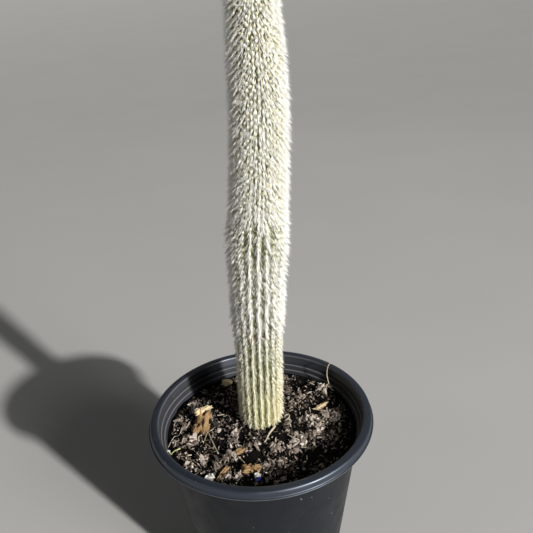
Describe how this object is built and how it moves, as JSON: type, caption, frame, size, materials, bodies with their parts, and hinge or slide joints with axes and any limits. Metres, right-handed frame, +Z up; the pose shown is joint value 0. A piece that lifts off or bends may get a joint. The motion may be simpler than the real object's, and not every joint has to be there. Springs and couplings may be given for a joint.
{
  "type": "potted silver torch cactus",
  "caption": "Tall ribbed column cactus with drooping white bristles, standing in dark potting mix in a round tapered grey nursery pot with a rolled rim and drain holes.",
  "frame": {"origin": "on the surface that the pot stands on, under the middle of its foot ring", "axes": "+Z up along the pot's axis, +X to the right and +Y away from the viewer as in the picture"},
  "size_m": [0.205, 0.205, 0.6058],
  "materials": {
    "pot_plastic": "dark grey moulded polypropylene with a soft sheen",
    "potting_mix": "loose dark peat with bark chips and pale grains",
    "silver_cactus": "pale green ribbed skin under white and straw-coloured bristles"
  },
  "bodies": {
    "root": {"pot": "pot_plastic", "soil": "potting_mix", "cactus": "silver_cactus"}
  },
  "joints": []
}
